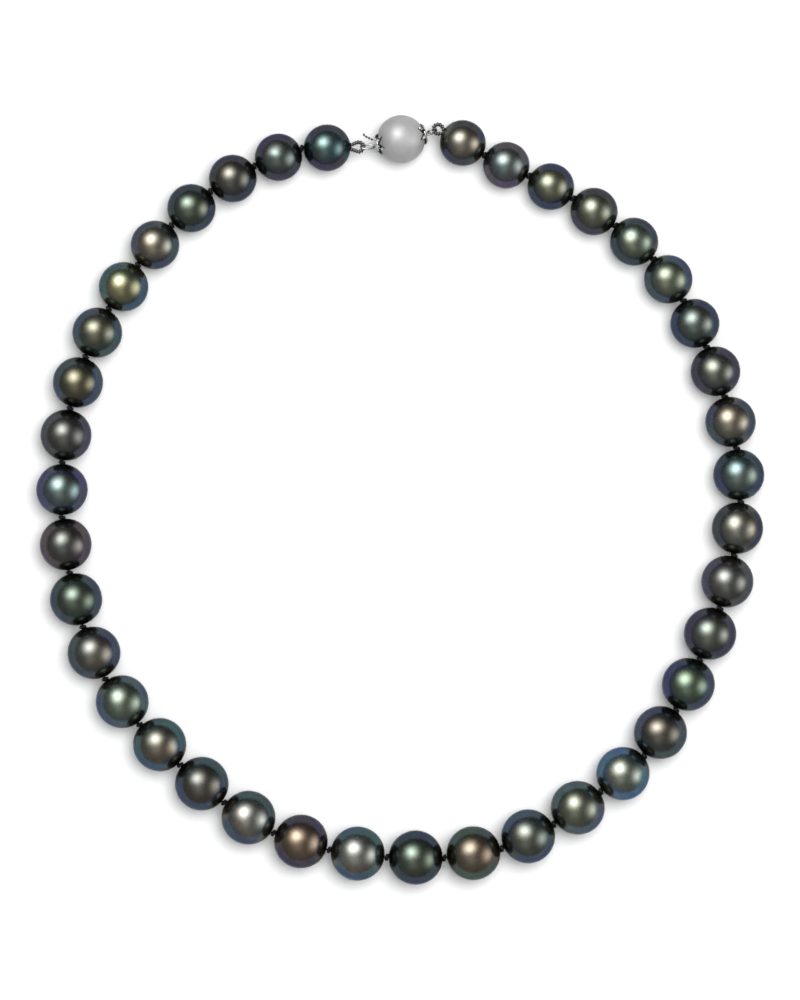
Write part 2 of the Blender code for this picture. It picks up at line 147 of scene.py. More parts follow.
LOOP_BEND = 0.96  # radius of the French wire's loop, along its core
LOOP_CORE = 0.27  # radius of the silk inside it
LOOP_STEP = 0.02  # between points along the loop; the silk takes one in CORE_EVERY
CORE_EVERY = 6
LOOP_DEPTHS = (0.9, 0.6, 0.3, 0.0)  # of its ends inside the pearl's bore
COIL_RADIUS, COIL_WIRE, COIL_PITCH = 0.33, 0.145, 0.50
COIL_END_OFFSET = 0.36
LINK_HALF_WIDTH, LINK_WIRE, LINK_LEAN = 0.66, 0.16, 42.0

# Clasp, in its own frame: X along its axis from the centre of the ball.
TONGUE_EYE = (-5.62, -0.3)
BALL_EYE = (5.56, 0.0)
EYE_RADIUS, EYE_WIRE = 0.4, 0.14
# Disc that the ball's eye stands on, as (x, radius).
EYE_BASE = (
    (4.93, 0.2),
    (4.93, 1.24),
    (4.98, 1.3),
    (5.07, 1.3),
    (5.12, 1.24),
    (5.2, 0.4),
    (5.2, 0.2),
)
SHELL_WALL = 0.5
MOUTH_ANGLE, CLOSED_ANGLE = 18.0, 4.0  # half-angles of the shells' mouths, from the ball's centre
CAP_LEAVES, LEAF_SAMPLES = 8, 16
CAP_HOLE, CAP_VALLEY, CAP_SIDE, CAP_TOP = 15.5, 19.5, 24.0, 44.0  # degrees off the clasp's axis
CAP_UNDERSIDE, CAP_LIFT = 0.03, 0.16  # over the ball's skin
# A leaf's midrib: its height, the share lost at the tip, and its narrowness; and the leaf's own fall.
RIB_LIFT, RIB_FALL, RIB_NARROW, EDGE_FALL = 0.38, 0.45, 1.6, 0.06
COLLAR_X, COLLAR_RADIUS, COLLAR_WIRE = -4.92, 1.46, 0.13
# Line of the tongue's spring: the fold, the hump that catches, and the curled tab.
SPRING_LINE = (
    (-0.75, -0.1),
    (-1.5, 0.25),
    (-3.3, 1.14),
    (-3.68, 1.28),
    (-3.86, 0.8),
    (-5.05, 0.8),
    (-5.4, 0.98),
    (-6.2, 1.58),
    (-7.0, 2.2),
    (-7.24, 2.5),
    (-7.22, 2.78),
    (-7.0, 2.86),
)
SPRING_STEP = 0.06
STRIP_HALF_HEIGHT, STRIP_THICKNESS = 0.6, 0.14
BEADS_FROM, BEAD_STEP = 5.6, 0.62  # along the spring from its fold
# Outline of one upright bead on the tab, as (height, radius).
BEAD = ((-0.7, 0.06), (-0.66, 0.15), (-0.54, 0.23), (0.54, 0.23), (0.66, 0.15), (0.7, 0.06))
SOFT_EDGE = 0.04

PHOTO_HEIGHT = 202.2  # of the view, at the height of the pearls' middles
PEARL_LEVEL = 5.0
CAMERA_HEIGHT = 1200.0
SENSOR = 36.0
FLOOR_HALF, FLOOR_LEVEL = 1500.0, -0.05

# Bright patches of the studio's tent: degrees off vertical, azimuth from +X, strength, spread.
TENT_GLOWS = (
    (32.0, 124.5, 21.0, 14.2),
    (63.0, -7.0, 6.6, 14.6),
    (26.0, -117.0, 1.1, 14.0),
    (55.0, -95.0, 0.40, 38.0),
    (62.0, 180.0, 0.25, 35.0),
)
TENT_BASE = 0.20
# Lamps: name, degrees off vertical, azimuth, distance, diameter and power.
LAMPS = (
    ("key_softbox", 14, 45, 1500, 1000, 20.0),
    ("tent_top", 0, 0, 1800, 3600, 33.0),
)


# ---------------------------------------------------------------- places, from the frame


JOINT_AT = {joint["name"]: Vector(joint["pos_m"]) / MM for joint in frame["joints"]}
BODY_OF = {
    node: body for body, nodes in frame["record"]["behaviour"]["bodies"].items() for node in nodes
}


def centre_of(node):
    low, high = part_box(node)
    return (low + high) / 2 / MM


def radius_of(node):
    low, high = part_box(node)
    return (high.z - low.z) / 2 / MM


def pearl_name(index):
    return f"pearl_{index:02d}"


def knot_at(index):
    """The knot between a pearl and the next one, level with their mean height."""
    name = "strand_open" if index == FRONT_PEARL else f"knot_{index:02d}_bend"
    place = JOINT_AT[name].copy()
    place.z = (radius_of(pearl_name(index)) + radius_of(pearl_name(index + 1))) / 2
    return place


def pearl_ends(index):
    """What a pearl's thread runs to on either side: a knot, or the loop of French wire."""
    first = centre_of("french_wire_left") if index == 1 else knot_at(index - 1)
    last = centre_of("french_wire_right") if index == PEARL_COUNT else knot_at(index)
    return first, last


def from_angle(off_vertical, azimuth, distance):
    """A place seen from the origin at an angle off vertical, and an azimuth from +X."""
    tilt, turn = math.radians(off_vertical), math.radians(azimuth)
    flat = distance * math.sin(tilt)
    return (flat * math.cos(turn), flat * math.sin(turn), distance * math.cos(tilt))


# ---------------------------------------------------------------- lines and surfaces


def around(count):
    """Angles of a full turn, evenly spaced."""
    return np.linspace(0, 2 * math.pi, count, endpoint=False)


def run_along(line):
    """How far along a line each of its points lies."""
    steps = np.linalg.norm(np.diff(line, axis=0), axis=1)
    return np.concatenate([[0.0], np.cumsum(steps)])


def ways_along(line, closed=False):
    """The line's direction at each of its points."""
    if closed:
        ways = np.roll(line, -1, axis=0) - np.roll(line, 1, axis=0)
    else:
        ways = np.gradient(line, axis=0)
    return ways / np.linalg.norm(ways, axis=1)[:, None]


def evenly(points, step):
    """The same line with points a fixed step apart, its corners softened."""
    points = np.asarray(points)
    run = run_along(points)
    marks = np.linspace(0, run[-1], int(run[-1] / step) + 1)
    line = np.stack([np.interp(marks, run, points[:, k]) for k in range(3)], axis=1)
    reach = 4  # points on either side that each one is averaged with
    window = np.ones(2 * reach + 1) / (2 * reach + 1)
    for _ in range(2):
        middle = np.stack([np.convolve(line[:, k], window, "valid") for k in range(3)], axis=1)
        line = np.concatenate([line[:reach], middle, line[-reach:]])
    return line


def grid_faces(rows, columns, wrap_rows=False):
    """Quads of a grid whose columns close on themselves."""
    faces = []
    for i in range(rows if wrap_rows else rows - 1):
        row, below = i * columns, (i + 1) % rows * columns
        for k in range(columns):
            after = (k + 1) % columns
            faces.append((row + k, row + after, below + after, below + k))
    return faces


def end_faces(rows, columns):
    """Faces that close such a grid at its first and last row."""
    start = (rows - 1) * columns
    return [tuple(range(columns))[::-1], tuple(range(start, start + columns))]


def turned(profile, sides, closed):
    """Points and faces of a body of revolution about X, from (x, radius) pairs."""
    points = [
        (x, radius * math.cos(angle), radius * math.sin(angle))
        for x, radius in profile
        for angle in around(sides)
    ]
    faces = grid_faces(len(profile), sides, wrap_rows=closed)
    return points, faces if closed else faces + end_faces(len(profile), sides)


def swept(path, radii, sides, closed=False, plies=0, ply_depth=0.0, ply_twist=0.0):
    """A tube along a path. Plies groove it and twist round it, as in a laid thread."""
    path = np.asarray(path, float)
    radii = np.broadcast_to(np.asarray(radii, float), len(path))
    ways = ways_along(path, closed)
    side = np.cross(ways[0], (0.0, 0.0, 1.0))
    if np.linalg.norm(side) < 0.1:  # the path starts upright
        side = np.cross(ways[0], (0.0, 1.0, 0.0))
    sides_along = []
    for way in ways:
        side = side - way * side.dot(way)
        side = side / np.linalg.norm(side)
        sides_along.append(side)
    slip = 0.0  # angle by which a closed path's end misses its start
    if closed:
        first, last = np.array(sides_along[0]), np.array(sides_along[-1])
        last = last - ways[0] * last.dot(ways[0])
        slip = math.atan2(np.cross(last, first).dot(ways[0]), last.dot(first))
    run = run_along(path)
    points = []
    for i, (place, way, side) in enumerate(zip(path, ways, sides_along)):
        up = np.cross(way, side)
        turn = slip * i / len(path)
        for k in range(sides):
            angle = 2 * math.pi * k / sides + turn
            radius = radii[i] * (1 + ply_depth * math.cos(plies * angle - ply_twist * run[i]))
            points.append(place + radius * (math.cos(angle) * side + math.sin(angle) * up))
    faces = grid_faces(len(path), sides, wrap_rows=closed)
    return points, faces if closed else faces + end_faces(len(path), sides)


def merged(*parts):
    """Several (points, faces) pairs as one."""
    points, faces = [], []
    for more_points, more_faces in parts:
        start = len(points)
        points += [tuple(point) for point in more_points]
        faces += [tuple(start + index for index in face) for face in more_faces]
    return points, faces


def placed(points, centre, axis):
    """Points of a level frame whose X lies along axis, moved to centre."""
    along = Vector(axis).normalized()
    across = Vector((0, 0, 1)).cross(along).normalized()
    up = along.cross(across)
    basis = np.array([along, across, up])
    return np.asarray(points, float) @ basis + np.array(centre)


# ---------------------------------------------------------------- objects


def add_mesh(name, points, faces, material, origin=ORIGIN):
    """A smooth object, built in millimetres round origin."""
    mesh = bpy.data.meshes.new(name)
    mesh.from_pydata((np.asarray(points, float) * MM).tolist(), [], faces)
    mesh.validate()
    mesh.shade_smooth()
    mesh.materials.append(material)
    made = bpy.data.objects.new(name, mesh)
    bpy.context.scene.collection.objects.link(made)
    made.location = Vector(origin) * MM
    return made


def add_piece(name, part, material, node, body=None, origin=ORIGIN):
    """A piece that stands for a CAD node, and rides on its body or another."""
    piece = add_mesh(name, *part, material, origin)
    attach(piece, body or BODY_OF[node])
    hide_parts(node)
    return piece


# ---------------------------------------------------------------- node tools


COLOUR_A, COLOUR_B, COLOUR_OUT = 6, 7, 2  # the colour sockets of a Mix node


class Nodes:
    """Builds the node tree of a material or a world, with short calls for what repeats."""

    def __init__(self, owner, shader="Principled BSDF", place="Object"):
        owner.use_nodes = True
        self.owner = owner
        self.tree = owner.node_tree
        self.shader = self.tree.nodes[shader]
        self.place = self.add("ShaderNodeTexCoord").outputs[place]

    def add(self, kind, **settings):
        node = self.tree.nodes.new(kind)
        for key, value in settings.items():
            setattr(node, key, value)
        return node

    def link(self, output, target):
        self.tree.links.new(output, target)

    def feed(self, target, value):
        """Links a socket, or sets a number or a colour."""
        if isinstance(value, bpy.types.NodeSocket):
            self.link(value, target)
        elif isinstance(value, tuple):
            target.default_value = (*value, 1.0)
        else:
            target.default_value = value

    def set(self, **values):
        """Feeds the shader's sockets, whose names have _ for each space."""
        for key, value in values.items():
            self.feed(self.shader.inputs[key.replace("_", " ")], value)

    def math(self, operation, *values):
        node = self.add("ShaderNodeMath", operation=operation)
        for target, value in zip(node.inputs, values):
            self.feed(target, value)
        return node.outputs[0]

    def noise(self, scale, detail=2.0, roughness=0.5, place=None, offset=0.0, distortion=0.0):
        """Noise with scale features in a millimetre."""
        node = self.add("ShaderNodeTexNoise")
        node.noise_dimensions = "4D"
        self.link(place or self.place, node.inputs["Vector"])
        node.inputs["W"].default_value = offset
        node.inputs["Scale"].default_value = scale / MM
        node.inputs["Detail"].default_value = detail
        node.inputs["Roughness"].default_value = roughness
        node.inputs["Distortion"].default_value = distortion
        return node.outputs["Fac"]

    def stretched(self, factors):
        node = self.add("ShaderNodeMapping")
        self.link(self.place, node.inputs["Vector"])
        node.inputs["Scale"].default_value = factors
        return node.outputs["Vector"]

    def spread(self, value, low, high, new_low=0.0, new_high=1.0):
        """A soft step from new_low to new_high as the value goes from low to high."""
        node = self.add("ShaderNodeMapRange", interpolation_type="SMOOTHSTEP")
        self.feed(node.inputs["Value"], value)
        node.inputs["From Min"].default_value = low
        node.inputs["From Max"].default_value = high
        node.inputs["To Min"].default_value = new_low
        node.inputs["To Max"].default_value = new_high
        return node.outputs["Result"]

    def mix(self, share, first, second):
        node = self.add("ShaderNodeMix", data_type="RGBA")
        self.feed(node.inputs["Factor"], share)
        self.feed(node.inputs[COLOUR_A], first)
        self.feed(node.inputs[COLOUR_B], second)
        return node.outputs[COLOUR_OUT]

    def times(self, first, second):
        node = self.add("ShaderNodeMix", data_type="RGBA", blend_type="MULTIPLY")
        node.inputs["Factor"].default_value = 1.0
        self.link(first, node.inputs[COLOUR_A])
        self.link(second, node.inputs[COLOUR_B])
        return node.outputs[COLOUR_OUT]

    def dot(self, way):
        """How far along a way each point lies."""
        node = self.add("ShaderNodeVectorMath", operation="DOT_PRODUCT")
        self.link(self.place, node.inputs[0])
        node.inputs[1].default_value = way
        return node.outputs["Value"]

    def distance(self):
        """How far from the object's origin each point lies."""
        node = self.add("ShaderNodeVectorMath", operation="LENGTH")
        self.link(self.place, node.inputs[0])
        return node.outputs["Value"]

    def height(self):
        split = self.add("ShaderNodeSeparateXYZ")
        self.link(self.place, split.inputs[0])
        return split.outputs["Z"]

    def bump(self, height, depth, below=None):
        """Relief with its depth in millimetres."""
        node = self.add("ShaderNodeBump")
        node.inputs["Strength"].default_value = 1.0
        node.inputs["Distance"].default_value = depth * MM
        self.link(height, node.inputs["Height"])
        if below:
            self.link(below, node.inputs["Normal"])
        return node.outputs["Normal"]


def new_material(name):
    return Nodes(bpy.data.materials.new(name))


def scaled(colour, factor):
    return tuple(channel * factor for channel in colour)


def tinted(colour, tint):
    return tuple(channel * share for channel, share in zip(colour, tint))


# ---------------------------------------------------------------- materials


def zone_and_sheen_share(made, index, radius, along):
    """Where a pearl shows its belt tone, partly colour zoning and partly painted sheen: below its top, but not
    round its bores.
    """
    drift = made.noise(0.16, 2.0, 0.5, offset=index * 1.7)
    level = made.math("DIVIDE", made.height(), radius * MM)
    sway = made.math("MULTIPLY", made.math("SUBTRACT", drift, 0.5), BELT_DRIFT)
    level = made.math("ADD", level, sway)
    polar = made.math("ABSOLUTE", made.dot(along.normalized()))
    polar = made.math("DIVIDE", polar, radius * MM)
    low_enough = made.spread(level, BELT_STARTS, BELT_FULL)
    return made.math("MULTIPLY", low_enough, made.spread(polar, POLE_STARTS, POLE_FULL))


def nacre(index, radius, along):
    """Dark nacre: a tinted satin mirror, clouded and specked, under a thin glossy coat, with a belt below its top
    that is partly colour zoning and partly painted sheen.
    """
    body_name, rim_name = PEARL_TONES[index - 1].split()
    body, rim = BODY_TONES[body_name], RIM_ZONE_AND_SHEEN_TONES[rim_name]
    made = new_material(f"nacre_{index:02d}_{body_name}_{rim_name}")
    hue = made.spread(made.noise(0.13, 1.0, 0.5, offset=index * 6.7), 0.38, 0.62)
    skin = made.mix(hue, tinted(body, WARM_BODY), tinted(body, COOL_BODY))
    # painted sheen: below its top the pearl takes the blue-violet tint of its reflection of the floor, partly its
    # own colour zoning
    belt = made.mix(hue, tinted(rim, BLUE_BELT), tinted(rim, GREEN_BELT))
    clouds = made.noise(0.42, 3.0, 0.55, offset=index * 3.1, distortion=0.6)
    shade = made.mix(made.spread(clouds, 0.35, 0.68), DARK_CLOUD, LIGHT_CLOUD)
    colour = made.times(made.mix(zone_and_sheen_share(made, index, radius, along), skin, belt), shade)
    specks = made.noise(2.6, 2.0, 0.6, offset=index * 0.9)
    colour = made.mix(made.spread(specks, 0.66, 0.78, 0.0, 0.3), colour, scaled(body, 0.45))
    grain = made.noise(1.5, 3.0, 0.6, offset=index * 2.3)
    rough = made.spread(grain, 0.3, 0.7, 0.24, 0.30)
    relief = made.bump(made.noise(0.7, 3.0, 0.55, offset=index * 5.3), NACRE_UNDULATION)
    pits = made.spread(made.noise(3.4, 1.0, 0.5, offset=index * 4.1), 0.70, 0.78, 1.0, 0.0)
    relief = made.bump(pits, NACRE_PIT, below=relief)
    made.set(Base_Color=colour, Metallic=1.0, Roughness=rough, Normal=relief)
    made.set(Specular_Tint=(0.45, 0.46, 0.50), **NACRE_COAT)
    return made.owner


def silk():
    """Black silk: matt, with the fibres of its twist."""
    made = new_material("black_silk")
    fibres = made.noise(9.0, 4.0, 0.65)
    light = made.spread(fibres, 0.4, 0.75)
    colour = made.mix(light, (0.0015, 0.0015, 0.002), (0.006, 0.006, 0.007))
    rough = made.spread(fibres, 0.3, 0.7, 0.5, 0.65)
    made.set(Base_Color=colour, Roughness=rough, Normal=made.bump(fibres, 0.03))
    made.set(Specular_IOR_Level=0.12)
    return made.owner


def metal(name, colour, low_rough, high_rough, grain_depth=0.0, painted_shade_recess=None, metallic=1.0):
    """White gold with fine scratches and a faint mottle.

    The recess is two distances from the ball's centre: nearer than the first, the metal is painted nearly black, a
    painted shade under the leaves and in the gaps between them and the ball.
    It has its own colour beyond the second.
    """
    made = new_material(name)
    lines = made.noise(5.0, 3.0, 0.6, place=made.stretched((1.0, 0.12, 1.0)))
    mottle = made.noise(0.7, 2.0, 0.5)
    shade = made.mix(made.spread(mottle, 0.3, 0.7), scaled(colour, 0.94), scaled(colour, 1.04))
    # painted shade: close to the ball's skin the metal fades to nearly black, under and between the leaves
    if painted_shade_recess:
        low, high = painted_shade_recess
        out_of_painted_shade = made.spread(made.distance(), low * MM, high * MM)
        shade = made.mix(out_of_painted_shade, (0.02, 0.02, 0.02), shade)
    made.set(Base_Color=shade, Metallic=metallic)
    made.set(Roughness=made.spread(lines, 0.25, 0.75, low_rough, high_rough))
    if grain_depth:
        made.set(Normal=made.bump(lines, grain_depth))
    return made.owner


def table_top():
    """A white, wholly matt surface with a faint drift in its tone."""
    made = new_material("white_table")
    colour = made.mix(made.noise(0.02, 2.0, 0.5), (0.90, 0.90, 0.90), (0.92, 0.92, 0.92))
    made.set(Base_Color=colour, Roughness=0.9, Specular_IOR_Level=0.0)
    return made.owner


SILK = silk()
SATIN = metal("satin_white_gold", (0.32, 0.32, 0.32), 0.42, 0.48, 0.002, metallic=0.06)
POLISHED = metal("polished_white_gold", (0.20, 0.20, 0.198), 0.10, 0.18)
# The leaves are painted nearly black close to the ball: painted shade under and between them.
ENGRAVED = metal("engraved_white_gold", (0.50, 0.50, 0.494), 0.10, 0.18, painted_shade_recess=(5.02, 5.2))
BLACKENED = metal("blackened_white_gold", (0.05, 0.05, 0.05), 0.2, 0.3)
SPRING = metal("sprung_white_gold", (0.10, 0.10, 0.10), 0.14, 0.22)
WIRE = metal("french_wire", (0.13, 0.13, 0.128), 0.10, 0.16)


# ---------------------------------------------------------------- pearls


def pearl_relief(directions, index):
    """How far a pearl's skin stands from a true sphere, as a share of its radius."""
    draw = np.random.default_rng(100 + index)
    out = np.zeros(len(directions))

    def some_way():
        way = draw.normal(size=3)
        return way / np.linalg.norm(way)

    for size, waves in (*SKIN_WAVES, (DIMPLED.get(index, 0.0), DIMPLE_WAVES)):
        for _ in range(4):
            out += size / 2 * np.sin(waves * directions @ some_way() + draw.uniform(0, 2 * math.pi))
    for _ in range(int(draw.integers(3, 7))):  # a few shallow pits
        apart = np.linalg.norm(directions - some_way(), axis=1)
        width = draw.uniform(0.05, 0.11)
        out -= draw.uniform(0.0008, 0.0022) * np.exp(-((apart / width) ** 2))
    if index in GROWTH_LINES:
        pole, level, depth = GROWTH_LINES[index]
        pole = np.array(pole) / np.linalg.norm(pole)
        out -= depth * np.exp(-(((directions @ pole - level) / GROWTH_LINE_WIDTH) ** 2))
    return out


def pearl_profile(radius):
    """Half the outline of a bored pearl along its bore, as (x, radius) pairs."""
    start = math.asin((BORE_RADIUS + BORE_LIP) / radius)
    angles = np.linspace(start, math.pi - start, PEARL_RINGS)
    skin = [(-radius * math.cos(angle), radius * math.sin(angle)) for angle in angles]
    lip = -(radius * math.cos(start))
    mouth = [(lip + deeper, BORE_RADIUS + wider) for deeper, wider in BORE_MOUTH]
    return mouth[::-1] + skin + [(-x, r) for x, r in mouth]


def pearl(index):
    """One pearl, bored through, with its own skin and nacre."""
    node = pearl_name(index)
    radius = radius_of(node)
    first, last = pearl_ends(index)
    along = last - first
    along.z = 0.0
    points, faces = turned(pearl_profile(radius), PEARL_SIDES, closed=True)
    points = np.array(points)
    directions = points / np.linalg.norm(points, axis=1)[:, None]
    outside = np.hypot(points[:, 1], points[:, 2]) > BORE_RADIUS + MOUTH_MARGIN
    points = placed(points, ORIGIN, along)
    relief = pearl_relief(placed(directions, ORIGIN, along), index)
    points *= (1 + relief * outside)[:, None]
    skin = nacre(index, radius, along)
    add_piece(f"nacre_{index:02d}", (points, faces), skin, node, origin=centre_of(node))


# ---------------------------------------------------------------- silk and its knots


def knot_curve(half_length):
    """A drawn-up overhand knot along X, as a polynomial knot squeezed to the gap: path and radii."""
    reach = 2.16  # of the parameter, where the curve leaves the knot
    steps = np.linspace(-reach, reach, 90)
    widest = 9.05  # x of the polynomial where the curve doubles back
    x = (steps**5 - 10 * steps) / widest * half_length
    y = (steps**3 - 3 * steps) / 2.0 * KNOT_SPREAD
    z = (steps**4 - 4 * steps**2 + 2) / 2.0 * KNOT_SPREAD
    fade = np.clip((reach - np.abs(steps)) / 0.34, 0, 1)
    fade = fade * fade * (3 - 2 * fade)
    radii = THREAD_RADIUS + (KNOT_THREAD - THREAD_RADIUS) * fade
    return np.stack([x, y * fade, z * fade], axis=1), radii


def straight(start, way, low, high, count):
    """Points on a line from start, at distances from low to high along way."""
    return [np.array(start) + way * distance for distance in np.linspace(low, high, count)]


def knotted_thread(index):
    """Path and radii of a pearl's thread, with the knot and the stub towards the front pearl."""
    centre, radius = centre_of(pearl_name(index)), radius_of(pearl_name(index))
    first, last = pearl_ends(index)
    before_front = index < FRONT_PEARL
    knot = last if before_front else first
    neighbour = pearl_name(index + 1 if before_front else index - 1)
    gap = (centre_of(neighbour) - centre).length - radius - radius_of(neighbour)
    way = np.array((centre - knot).normalized())
    back = np.array((knot - centre_of(neighbour)).normalized())
    curve, knot_radii = knot_curve(max(gap / 2 - KNOT_THREAD, LEAST_KNOT))
    tied = placed(curve, np.array(knot) - way * KNOT_SHIFT, Vector((back + way) / 2))
    lead = curve[-1][0] + KNOT_LEAD
    stub = straight(knot, -back, gap / 2 + STUB, lead, 8)
    far = (centre - knot).length + radius - STUB - STUB_GAP
    run = straight(knot, way, lead, far, 26)
    radii = [THREAD_RADIUS] * len(stub) + list(knot_radii) + [THREAD_RADIUS] * len(run)
    return [*stub, *tied, *run], radii


def silk_run(index):
    """The thread through one pearl. The front pearl's has no knot of its own."""
    node = pearl_name(index)
    if index == FRONT_PEARL:
        first, last = pearl_ends(index)
        way = np.array((last - first).normalized())
        reach = radius_of(node) - STUB - STUB_GAP
        path, radii = straight(centre_of(node), way, -reach, reach, 24), THREAD_RADIUS
    else:
        path, radii = knotted_thread(index)
    part = swept(path, radii, THREAD_SIDES, **THREAD_LAY)
    add_piece(f"silk_{index:02d}", part, SILK, "silk_thread", body=BODY_OF[node])


# ---------------------------------------------------------------- French wire and links


def loop_path(loop, pearl_centre, radius):
    """The core of a French wire loop: out of the bore, round in a teardrop, and back in."""
    towards = (pearl_centre - loop).normalized()
    across = Vector((0, 0, 1)).cross(towards)
    mouth = (pearl_centre - loop).length - radius
    lean = math.acos(LOOP_BEND / math.hypot(mouth, COIL_END_OFFSET))
    lean += math.atan2(COIL_END_OFFSET, mouth)
    arc = np.linspace(lean, 2 * math.pi - lean, 60)
    bend = [LOOP_BEND * (math.cos(a) * towards + math.sin(a) * across) for a in arc]
    inside = [towards * (mouth + depth) + across * COIL_END_OFFSET for depth in LOOP_DEPTHS]
    outside = [point - 2 * across * COIL_END_OFFSET for point in inside[::-1]]
    corners = [np.array(point + loop) for point in (*inside, *bend, *outside)]
    return evenly(corners, LOOP_STEP)


def coiled(path):
    """A close helix round a path that lies level."""
    up = np.array((0.0, 0.0, 1.0))
    line = []
    for place, way, along in zip(path, ways_along(path), run_along(path)):
        side = np.cross(up, way)
        side /= np.linalg.norm(side)
        turn = 2 * math.pi * along / COIL_PITCH
        out = math.cos(turn) * side + math.sin(turn) * np.cross(way, side)
        line.append(place + COIL_RADIUS * out)
    return line


def french_wire(side, index):
    """A loop of thread out of an end pearl, with fine wire coiled over it."""
    node, carrier = f"french_wire_{side}", pearl_name(index)
    path = loop_path(centre_of(node), centre_of(carrier), radius_of(carrier))
    add_piece(f"coil_{side}", swept(coiled(path), COIL_WIRE, 8), WIRE, node)
    core = swept(path[::CORE_EVERY], LOOP_CORE, 10)
    add_piece(f"silk_loop_{side}", core, SILK, "silk_thread", body=BODY_OF[node])


def link(side, loop_joint, eye_joint):
    """An oval ring of wire between a French wire loop and one of the clasp's eyes."""
    start, end = JOINT_AT[loop_joint], JOINT_AT[eye_joint]
    along = end - start
    along.z = 0.0
    half = along.length / 2
    lean = math.radians(LINK_LEAN)
    ring = []
    for angle in around(72):
        out = LINK_HALF_WIDTH * math.sin(angle)
        ring.append((half * math.cos(angle), -out * math.sin(lean), out * math.cos(lean)))
    part = swept(placed(ring, (start + end) / 2, along), LINK_WIRE, 14, closed=True)
    add_piece(f"oval_link_{side}", part, POLISHED, f"link_{side}")


# ---------------------------------------------------------------- clasp


EYE_LEFT, EYE_RIGHT = JOINT_AT["tongue_on_link"], JOINT_AT["ball_on_link"]
CLASP_TURN = (EYE_RIGHT - EYE_LEFT).xy.angle_signed(Vector((1, 0))) - math.atan2(
    BALL_EYE[1] - TONGUE_EYE[1], BALL_EYE[0] - TONGUE_EYE[0]
)
CLASP_AXIS = Vector((math.cos(CLASP_TURN), math.sin(CLASP_TURN), 0))
BALL_RADIUS = radius_of("ball_shell_closed")
BALL_CENTRE = EYE_RIGHT - CLASP_AXIS * BALL_EYE[0]


def clasp_piece(name, part, material, node):
    """A piece built in the clasp's frame, with its edges kept sharp."""
    points, faces = part
    part = (placed(points, ORIGIN, CLASP_AXIS), faces)
    piece = add_piece(name, part, material, node, origin=BALL_CENTRE)
    piece.data.set_sharp_from_angle(angle=math.radians(50))


def mirrored(points, flip):
    """The points, or their mirror image at the ball's other pole."""
    return [(-x, y, z) for x, y, z in points] if flip else points


def half_shell(mouth_angle, flip):
    """Half of the hollow ball: outer skin, rim at the polished-out seam, inner skin, and mouth."""
    inner = BALL_RADIUS - SHELL_WALL
    start, seam = math.radians(mouth_angle), math.pi / 2
    outside = [
        (-BALL_RADIUS * math.cos(a), BALL_RADIUS * math.sin(a))
        for a in np.linspace(start, seam, 48)
    ]
    inside = [(-inner * math.cos(a), inner * math.sin(a)) for a in np.linspace(seam, start, 24)]
    profile = outside + inside
    if flip:
        profile = [(-x, r) for x, r in profile][::-1]
    return turned(profile, 128, closed=True)


def leaf_cap(flip):
    """An oval crown of pointed leaves over the ball's pole, each with a raised midrib."""
    count = CAP_LEAVES * LEAF_SAMPLES
    rings = []
    for k in range(count):
        turn = 2 * math.pi * k / count
        from_rib = abs(2 * (k % LEAF_SAMPLES) / LEAF_SAMPLES - 1)
        tip = CAP_SIDE + (CAP_TOP - CAP_SIDE) * math.sin(turn) ** 2
        out = CAP_VALLEY + (tip - CAP_VALLEY) * (1 - from_rib)
        rib = max(0.0, 1 - from_rib * RIB_NARROW)
        section = []
        for share in np.linspace(0, 1, 8):
            lift = CAP_LIFT + RIB_LIFT * rib * (1 - RIB_FALL * share**2) - EDGE_FALL * share
            section.append((CAP_HOLE + (out - CAP_HOLE) * share, BALL_RADIUS + lift))
        for angle in (out, (CAP_HOLE + out) / 2, CAP_HOLE):
            section.append((angle, BALL_RADIUS + CAP_UNDERSIDE))
        ring = []
        for angle, radius in section:
            off = radius * math.sin(math.radians(angle))
            x = -radius * math.cos(math.radians(angle))
            ring.append((x, off * math.cos(turn), off * math.sin(turn)))
        rings.append(mirrored(ring, flip)[::-1] if flip else ring)
    points = [point for ring in rings for point in ring]
    faces = grid_faces(count, len(rings[0]), wrap_rows=True)
    return points, [face[::-1] for face in faces]


def collar(flip):
    """A round wire between a cap's leaves and the hole at its pole."""
    path = [(COLLAR_X, COLLAR_RADIUS * math.cos(a), COLLAR_RADIUS * math.sin(a)) for a in around(64)]
    return swept(mirrored(path, flip), COLLAR_WIRE, 12, closed=True)


def spring():
    """The spring strip of the tongue, with a beaded thumb tab outside the ball."""
    line = evenly([(x, y, 0.0) for x, y in SPRING_LINE], SPRING_STEP)
    across = np.cross(ways_along(line), (0.0, 0.0, 1.0)) * STRIP_THICKNESS / 2
    points = [
        place + sign * out + np.array((0, 0, height * STRIP_HALF_HEIGHT))
        for place, out in zip(line, across)
        for sign, height in ((1, -1), (1, 1), (-1, 1), (-1, -1))
    ]
    faces = grid_faces(len(line), 4) + [face[::-1] for face in end_faces(len(line), 4)]
    clasp_piece("spring_strip", (points, faces), SPRING, "tongue_spring")
    run = run_along(line)
    bead_points, bead_faces = turned(BEAD, 16, closed=False)
    beads = []
    for mark in np.arange(BEADS_FROM, run[-1], BEAD_STEP):
        x, y = (float(np.interp(mark, run, line[:, k])) for k in (0, 1))
        beads.append(([(x + p[1], y + p[2], p[0]) for p in bead_points], bead_faces))
    clasp_piece("tab_beads", merged(*beads), BLACKENED, "tongue_spring")


def eye_of_ball():
    """The wire eye that the right link hangs in, on its disc."""
    eye = [
        (BALL_EYE[0] + EYE_RADIUS * math.cos(a), BALL_EYE[1] + EYE_RADIUS * math.sin(a), 0.0)
        for a in around(48)
    ]
    part = merged(turned(EYE_BASE, 64, closed=True), swept(eye, EYE_WIRE, 14, closed=True))
    clasp_piece("eye_of_ball", part, POLISHED, "ball_eye")


